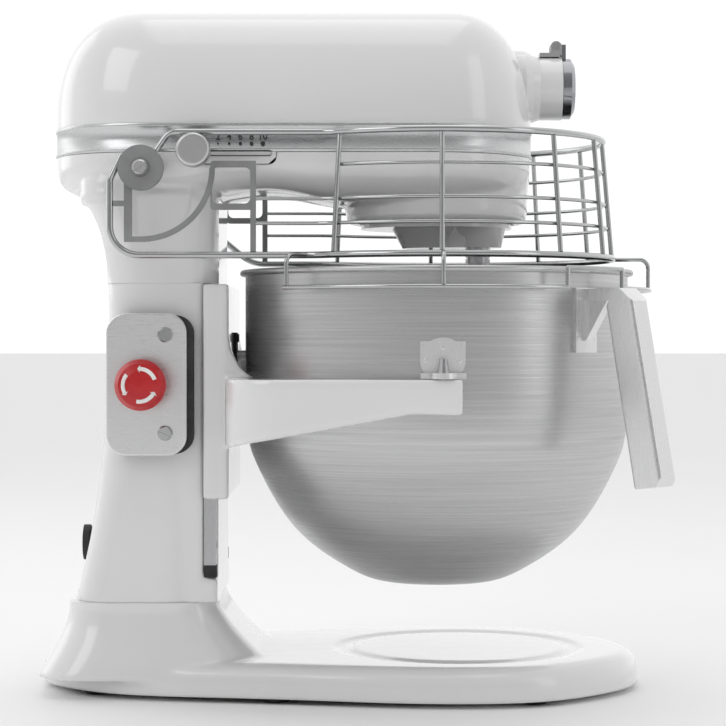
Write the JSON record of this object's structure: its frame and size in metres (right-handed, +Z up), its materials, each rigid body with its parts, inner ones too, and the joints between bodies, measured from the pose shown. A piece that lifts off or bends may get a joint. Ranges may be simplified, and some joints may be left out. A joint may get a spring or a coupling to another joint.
{
  "type": "stand mixer",
  "caption": "Bowl-lift stand mixer with a steel bowl, hinged wire guard, lifting yoke, planetary drive, stop button and front attachment hub.",
  "frame": {"origin": "centre of the footprint at table level, under the middle of the overall box", "axes": "+X towards the attachment hub, +Z up, +Y to the side of the lift handle"},
  "size_m": [0.3785, 0.276, 0.4165],
  "materials": {
    "white_enamel": "gloss",
    "black_rubber": "matte",
    "ground_steel": "satin",
    "satin_trim": "satin",
    "dark_chrome": "polished",
    "black_plastic": "matte",
    "grey_plastic": "matte",
    "red_plastic": "gloss",
    "board_green": "satin",
    "stainless_bowl": "brushed",
    "wire_chrome": "polished",
    "guard_grey": "satin",
    "gear_steel": "satin",
    "cast_grey": "matte"
  },
  "bodies": {
    "stand": {"base_casting": "white_enamel", "rubber_feet": "black_rubber", "column_casting": "white_enamel", "slide_rails": "ground_steel", "rail_stops": "black_rubber", "gearhead": "cast_grey", "cord_gland": "black_rubber", "gearcase_housing": "white_enamel", "head_cover": "white_enamel", "trim_band": "satin_trim", "hub_sleeve": "ground_steel", "hub_bracket": "satin_trim", "hub_hinge_pin": "ground_steel", "speed_plate": "black_plastic", "control_board": "board_green", "estop_box": "black_rubber", "estop_cover": "stainless_bowl", "estop_screws": "ground_steel", "estop_collar": "grey_plastic", "estop_switch": "black_plastic", "guard_pivot_bolts": "ground_steel", "ring_gear": "gear_steel", "gearcase_bridge": "cast_grey", "shaft_bearings": "gear_steel", "motor_stator": "cast_grey"},
    "speed_control": {"speed_knob": "satin_trim", "speed_lever": "satin_trim"},
    "stop_button": {"estop_button": "red_plastic", "estop_stem": "red_plastic"},
    "carriage": {"lift_yoke": "white_enamel", "bowl_pins": "ground_steel", "latch_spring": "black_rubber"},
    "lift_handle": {"lift_shaft": "ground_steel", "lift_crank": "ground_steel", "lift_lever": "ground_steel", "lift_grip": "black_plastic"},
    "bowl": {"bowl_shell": "stainless_bowl", "bowl_ears": "stainless_bowl", "bowl_rear_pin": "stainless_bowl", "bowl_handle_bracket": "stainless_bowl", "bowl_handle": "stainless_bowl"},
    "guard": {"guard_top_wire": "wire_chrome", "guard_bottom_wire": "wire_chrome", "guard_uprights": "wire_chrome", "guard_rings": "wire_chrome", "guard_skirt": "wire_chrome", "guard_links": "wire_chrome", "guard_plates": "guard_grey", "guard_discs": "guard_grey"},
    "planetary": {"planetary_carrier": "satin_trim", "planetary_shaft": "ground_steel", "crown_bevel": "gear_steel"},
    "agitator": {"agitator_pinion": "gear_steel", "agitator_shaft": "ground_steel", "agitator_pin": "ground_steel"},
    "hub_drive": {"hub_shaft": "gear_steel"},
    "drive_pinion": {"drive_bevel": "gear_steel"},
    "motor_rotor": {"motor_armature": "gear_steel"},
    "hub_lid": {"hub_cover": "dark_chrome"},
    "attachment_screw": {"attachment_knob": "black_plastic"}
  },
  "joints": [
    {"name": "guard_hinge", "type": "hinge", "parent": "stand", "child": "guard", "pos_m": [-0.1196, 0, 0.3158], "axis": [0, -1, 0], "range_deg": [0, 50]},
    {"name": "speed_slide", "type": "slide", "parent": "stand", "child": "speed_control", "axis": [1, 0, 0], "range_m": [0, 0.034]},
    {"name": "stop_push", "type": "slide", "parent": "stand", "child": "stop_button", "axis": [0, 1, 0], "range_m": [0, 0.004], "stiffness_N_per_m": 2000},
    {"name": "carriage_lift", "type": "slide", "parent": "stand", "child": "carriage", "axis": [0, 0, -1], "range_m": [0, 0.038]},
    {"name": "lift_handle_turn", "type": "hinge", "parent": "stand", "child": "lift_handle", "pos_m": [-0.118, 0, 0.128], "axis": [0, -1, 0], "range_deg": [0, 90]},
    {"name": "bowl_lift_off", "type": "slide", "parent": "carriage", "child": "bowl", "axis": [0, 0, 1], "range_m": [0, 0.004]},
    {"name": "planetary_spin", "type": "hinge", "parent": "stand", "child": "planetary", "pos_m": [0.057, 0, 0.28], "axis": [0, 0, 1], "continuous": true},
    {"name": "agitator_spin", "type": "hinge", "parent": "planetary", "child": "agitator", "pos_m": [0.08216, -0.01634, 0.28], "axis": [0, 0, 1], "continuous": true},
    {"name": "hub_spin", "type": "hinge", "parent": "stand", "child": "hub_drive", "pos_m": [0.1, 0, 0.371], "axis": [1, 0, 0], "continuous": true},
    {"name": "pinion_spin", "type": "hinge", "parent": "stand", "child": "drive_pinion", "pos_m": [0.02, 0, 0.371], "axis": [1, 0, 0], "continuous": true},
    {"name": "motor_spin", "type": "hinge", "parent": "stand", "child": "motor_rotor", "pos_m": [-0.106, 0, 0.371], "axis": [1, 0, 0], "continuous": true},
    {"name": "hub_cover_hinge", "type": "hinge", "parent": "stand", "child": "hub_lid", "pos_m": [0.1315, 0, 0.3968], "axis": [0, -1, 0], "range_deg": [0, 100]},
    {"name": "clamp_screw_turn", "type": "hinge", "parent": "stand", "child": "attachment_screw", "pos_m": [0.104, 0.05, 0.371], "axis": [0, 1, 0], "range_deg": [0, 360]}
  ],
  "couplings": [
    {"joint": "lift_handle_turn", "follows": "carriage_lift", "rad_per_m": 41.337},
    {"joint": "agitator_spin", "follows": "planetary_spin", "ratio": -3},
    {"joint": "hub_spin", "follows": "planetary_spin", "ratio": 1.25},
    {"joint": "pinion_spin", "follows": "planetary_spin", "ratio": -1.25},
    {"joint": "motor_spin", "follows": "planetary_spin", "ratio": -5}
  ]
}
